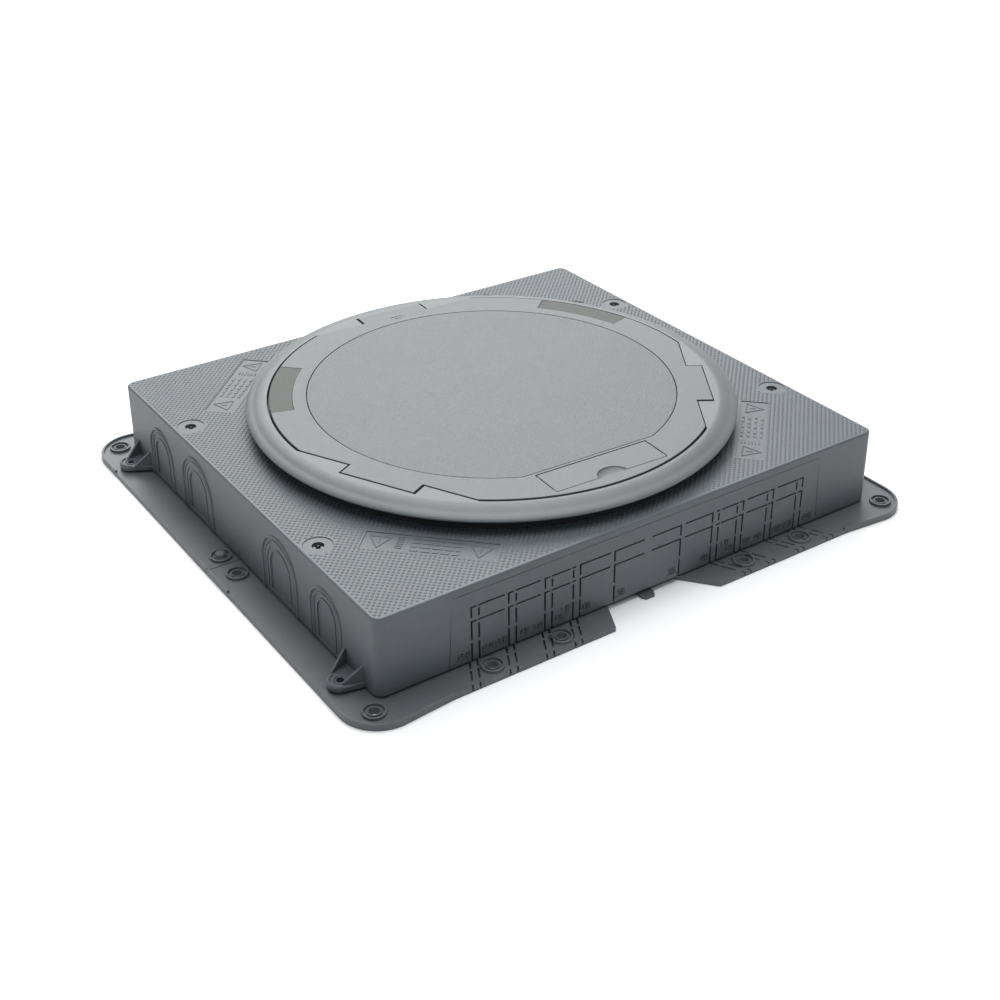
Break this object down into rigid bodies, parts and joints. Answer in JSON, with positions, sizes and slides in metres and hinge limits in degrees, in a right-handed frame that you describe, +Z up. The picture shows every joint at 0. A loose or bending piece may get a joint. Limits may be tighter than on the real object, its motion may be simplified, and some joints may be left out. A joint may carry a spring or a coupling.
{
  "type": "underfloor service box",
  "caption": "Low rectangular underfloor box: levelling hood on a two-part base frame, with a round outlet ring, lift-out lid, cable flap and knock-out entries.",
  "frame": {"origin": "on the floor, under the middle of the base frame", "axes": "+X along the long side with the trunking knock-outs in front, +Y to the back along the sides with the arches, +Z up"},
  "size_m": [0.417, 0.382, 0.0704],
  "materials": {
    "hood_plastic": "fine-grained moulded plastic, textured on top",
    "base_plastic": "smooth moulded plastic",
    "lid_plastic": "fine spark-eroded grain",
    "inlay_plastic": "even spark-eroded grain",
    "cable_foam": "closed-cell foam",
    "seal_rubber": "matt black rubber",
    "steel": "zinc-plated steel",
    "zinc": "die-cast zinc",
    "brass": "turned brass"
  },
  "bodies": {
    "base": {"base_front": "base_plastic", "base_rear": "base_plastic", "join_plate_left": "base_plastic", "join_plate_right": "base_plastic", "join_screws": "steel", "thread_inserts": "brass"},
    "hood": {"hood": "hood_plastic"},
    "ring": {"outlet_ring": "lid_plastic", "rim_seal": "seal_rubber", "lid_buffers": "seal_rubber"},
    "lid": {"lid": "lid_plastic", "lid_stiffener": "steel", "lid_screws": "steel", "cable_foam_left": "cable_foam", "cable_foam_right": "cable_foam"},
    "inlay": {"centre_inlay": "inlay_plastic"},
    "flap": {"cable_flap": "lid_plastic", "flap_pins": "steel"},
    "screw_1": {"levelling_screw_1": "steel", "screw_clip_1": "steel"},
    "screw_2": {"levelling_screw_2": "steel", "screw_clip_2": "steel"},
    "screw_3": {"levelling_screw_3": "steel", "screw_clip_3": "steel"},
    "screw_4": {"levelling_screw_4": "steel", "screw_clip_4": "steel"},
    "claw_1": {"claw_1": "zinc", "claw_screw_1": "steel"},
    "claw_2": {"claw_2": "zinc", "claw_screw_2": "steel"},
    "claw_3": {"claw_3": "zinc", "claw_screw_3": "steel"}
  },
  "joints": [
    {"name": "hood_lift", "type": "slide", "parent": "base", "child": "hood", "axis": [0, 0, 1], "range_m": [0, 0.02]},
    {"name": "ring_turn", "type": "hinge", "parent": "hood", "child": "ring", "pos_m": [0.002, -0.0015, 0.06], "axis": [0, 0, 1], "range_deg": [-10, 10]},
    {"name": "lid_lift", "type": "slide", "parent": "ring", "child": "lid", "axis": [0, 0, 1], "range_m": [0, 0.12]},
    {"name": "inlay_lift", "type": "slide", "parent": "lid", "child": "inlay", "axis": [0, 0, 1], "range_m": [0, 0.04]},
    {"name": "flap_hinge", "type": "hinge", "parent": "lid", "child": "flap", "pos_m": [-0.00284, -0.117, 0.069], "axis": [-0.9991, 0.0419, 0], "range_deg": [0, 95]},
    {"name": "screw_turn_1", "type": "hinge", "parent": "hood", "child": "screw_1", "pos_m": [-0.174, -0.086, 0.03], "axis": [0, 0, 1], "range_deg": [0, 3600]},
    {"name": "screw_turn_2", "type": "hinge", "parent": "hood", "child": "screw_2", "pos_m": [0.174, -0.086, 0.03], "axis": [0, 0, 1], "range_deg": [0, 3600]},
    {"name": "screw_turn_3", "type": "hinge", "parent": "hood", "child": "screw_3", "pos_m": [-0.174, 0.086, 0.03], "axis": [0, 0, 1], "range_deg": [0, 3600]},
    {"name": "screw_turn_4", "type": "hinge", "parent": "hood", "child": "screw_4", "pos_m": [0.174, 0.086, 0.03], "axis": [0, 0, 1], "range_deg": [0, 3600]},
    {"name": "claw_swing_1", "type": "hinge", "parent": "ring", "child": "claw_1", "pos_m": [0.07219, 0.10911, 0.048], "axis": [0, 0, 1], "range_deg": [-90, 0]},
    {"name": "claw_swing_2", "type": "hinge", "parent": "ring", "child": "claw_2", "pos_m": [-0.12888, 0.00399, 0.048], "axis": [0, 0, 1], "range_deg": [-90, 0]},
    {"name": "claw_swing_3", "type": "hinge", "parent": "ring", "child": "claw_3", "pos_m": [0.06269, -0.11759, 0.048], "axis": [0, 0, 1], "range_deg": [-90, 0]}
  ],
  "couplings": [
    {"joint": "screw_turn_1", "follows": "hood_lift", "rad_per_m": 3141.6},
    {"joint": "screw_turn_2", "follows": "hood_lift", "rad_per_m": 3141.6},
    {"joint": "screw_turn_3", "follows": "hood_lift", "rad_per_m": 3141.6},
    {"joint": "screw_turn_4", "follows": "hood_lift", "rad_per_m": 3141.6}
  ]
}
